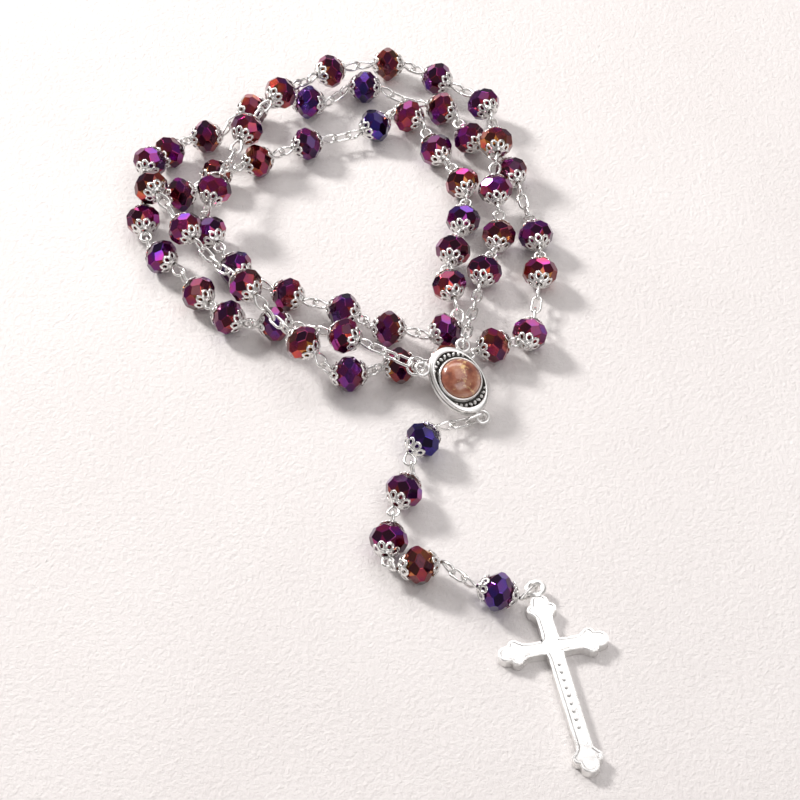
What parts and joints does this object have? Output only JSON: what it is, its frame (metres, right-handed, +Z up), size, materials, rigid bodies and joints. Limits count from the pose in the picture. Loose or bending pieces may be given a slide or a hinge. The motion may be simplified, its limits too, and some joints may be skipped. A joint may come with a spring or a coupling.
{
  "type": "rosary",
  "caption": "Rosary of faceted coloured glass beads on silver wire links, with an oval centrepiece, a beaded pendant and a crucifix, lying in a loose coil",
  "frame": {"origin": "on the surface it lies on, under the middle of its outline", "axes": "+Z up, +Y from the crucifix towards the bead loop, +X to the right seen from above"},
  "size_m": [0.104, 0.2076, 0.0145],
  "materials": {
    "bead_glass": "faceted glass with an iridescent purple and blue metallic coating",
    "silver_metal": "bright silver plate, darkened in the recesses",
    "cabochon_stone": "clear domed amber cabochon over mottled earth"
  },
  "bodies": {
    "strand": {"centrepiece_frame": "silver_metal", "cabochon": "cabochon_stone", "left_jump_ring": "silver_metal", "decade_1_pair_1": "bead_glass", "decade_1_pair_2": "bead_glass", "decade_1_pair_3": "bead_glass", "decade_1_pair_4": "bead_glass", "decade_1_pair_5": "bead_glass", "decade_2_pair_1": "bead_glass", "decade_2_pair_2": "bead_glass", "decade_2_pair_3": "bead_glass", "decade_2_pair_4": "bead_glass", "decade_2_pair_5": "bead_glass", "decade_3_pair_1": "bead_glass", "decade_3_pair_2": "bead_glass", "decade_3_pair_3": "bead_glass", "decade_3_pair_4": "bead_glass", "decade_3_pair_5": "bead_glass", "decade_4_pair_1": "bead_glass", "decade_4_pair_2": "bead_glass", "decade_4_pair_3": "bead_glass", "decade_4_pair_4": "bead_glass", "decade_4_pair_5": "bead_glass", "decade_5_pair_1": "bead_glass", "decade_5_pair_2": "bead_glass", "decade_5_pair_3": "bead_glass", "decade_5_pair_4": "bead_glass", "decade_5_pair_5": "bead_glass", "single_wire_1": "silver_metal", "single_wire_2": "silver_metal", "single_wire_3": "silver_metal", "single_wire_4": "silver_metal"},
    "first_link": {"pendant_link_1": "silver_metal"},
    "second_link": {"pendant_link_2": "silver_metal"},
    "wire_1": {"pendant_wire_1": "silver_metal", "pendant_upper_cap_1": "silver_metal", "pendant_lower_cap_1": "silver_metal"},
    "bead_1": {"pendant_bead_1": "bead_glass"},
    "wire_2": {"pendant_wire_2": "silver_metal", "pendant_upper_cap_2": "silver_metal", "pendant_lower_cap_2": "silver_metal"},
    "bead_2": {"pendant_bead_2": "bead_glass"},
    "wire_3": {"pendant_wire_3": "silver_metal", "pendant_upper_cap_3": "silver_metal", "pendant_lower_cap_3": "silver_metal"},
    "bead_3": {"pendant_bead_3": "bead_glass"},
    "wire_4": {"pendant_wire_4": "silver_metal", "pendant_upper_cap_4": "silver_metal", "pendant_lower_cap_4": "silver_metal"},
    "bead_4": {"pendant_bead_4": "bead_glass"},
    "wire_5": {"pendant_wire_5": "silver_metal", "pendant_upper_cap_5": "silver_metal", "pendant_lower_cap_5": "silver_metal"},
    "bead_5": {"pendant_bead_5": "bead_glass"},
    "spacer": {"pendant_spacer_link": "silver_metal"},
    "crucifix": {"crucifix": "silver_metal"},
    "single_1": {"single_bead_1": "bead_glass"},
    "single_2": {"single_bead_2": "bead_glass"},
    "single_3": {"single_bead_3": "bead_glass"},
    "single_4": {"single_bead_4": "bead_glass"}
  },
  "joints": [
    {"name": "first_link_swing", "type": "hinge", "parent": "strand", "child": "first_link", "pos_m": [0.02824, -0.01335, 0.00198], "axis": [0, 0, 1], "range_deg": [-8, 30]},
    {"name": "second_link_swing", "type": "hinge", "parent": "first_link", "child": "second_link", "pos_m": [0.025, -0.01487, 0.00203], "axis": [0, 0, -1], "range_deg": [-30, 30]},
    {"name": "bead_1_swing", "type": "hinge", "parent": "second_link", "child": "wire_1", "pos_m": [0.02177, -0.0164, 0.0027], "axis": [0, 0, 1], "range_deg": [-30, 30]},
    {"name": "bead_2_swing", "type": "hinge", "parent": "wire_1", "child": "wire_2", "pos_m": [0.01279, -0.02837, 0.004], "axis": [0, 0, -1], "range_deg": [-30, 30]},
    {"name": "bead_3_swing", "type": "hinge", "parent": "wire_2", "child": "wire_3", "pos_m": [0.00917, -0.04203, 0.004], "axis": [0, 0, 1], "range_deg": [-30, 30]},
    {"name": "bead_4_swing", "type": "hinge", "parent": "wire_3", "child": "wire_4", "pos_m": [0.00842, -0.05489, 0.004], "axis": [0, 0, -1], "range_deg": [-15, 30]},
    {"name": "spacer_swing", "type": "hinge", "parent": "wire_4", "child": "spacer", "pos_m": [0.02128, -0.05679, 0.00384], "axis": [0, 0, 1], "range_deg": [-30, 30]},
    {"name": "bead_5_swing", "type": "hinge", "parent": "spacer", "child": "wire_5", "pos_m": [0.02334, -0.05912, 0.0043], "axis": [0, 0, -1], "range_deg": [-30, 30]},
    {"name": "crucifix_swing", "type": "hinge", "parent": "wire_5", "child": "crucifix", "pos_m": [0.0378, -0.05974, 0.002], "axis": [0, 0, 1], "range_deg": [-15, 30]},
    {"name": "bead_1_spin", "type": "hinge", "parent": "wire_1", "child": "bead_1", "pos_m": [0.01534, -0.02172, 0.004], "axis": [-0.6428, -0.766, 0], "continuous": true},
    {"name": "bead_2_spin", "type": "hinge", "parent": "wire_2", "child": "bead_2", "pos_m": [0.01134, -0.03572, 0.004], "axis": [-0.4226, -0.9063, 0], "continuous": true},
    {"name": "bead_3_spin", "type": "hinge", "parent": "wire_3", "child": "bead_3", "pos_m": [0.00824, -0.04872, 0.004], "axis": [-0.1736, -0.9848, 0], "continuous": true},
    {"name": "bead_4_spin", "type": "hinge", "parent": "wire_4", "child": "bead_4", "pos_m": [0.01434, -0.05532, 0.004], "axis": [0.9848, 0.1736, 0], "continuous": true},
    {"name": "bead_5_spin", "type": "hinge", "parent": "wire_5", "child": "bead_5", "pos_m": [0.03014, -0.06212, 0.0041], "axis": [0.9565, -0.1344, -0.2588], "continuous": true},
    {"name": "single_1_spin", "type": "hinge", "parent": "strand", "child": "single_1", "pos_m": [-0.03196, 0.04928, 0.01], "axis": [-0.2546, -0.95, -0.1806], "continuous": true},
    {"name": "single_2_spin", "type": "hinge", "parent": "strand", "child": "single_2", "pos_m": [0.01904, 0.06928, 0.004], "axis": [-0.4696, 0.8829, 0], "continuous": true},
    {"name": "single_3_spin", "type": "hinge", "parent": "strand", "child": "single_3", "pos_m": [-0.00046, -0.00272, 0.004], "axis": [0.9962, 0.0872, 0], "continuous": true},
    {"name": "single_4_spin", "type": "hinge", "parent": "strand", "child": "single_4", "pos_m": [-0.01146, 0.08628, 0.004], "axis": [-0.9848, 0.1736, 0], "continuous": true}
  ]
}
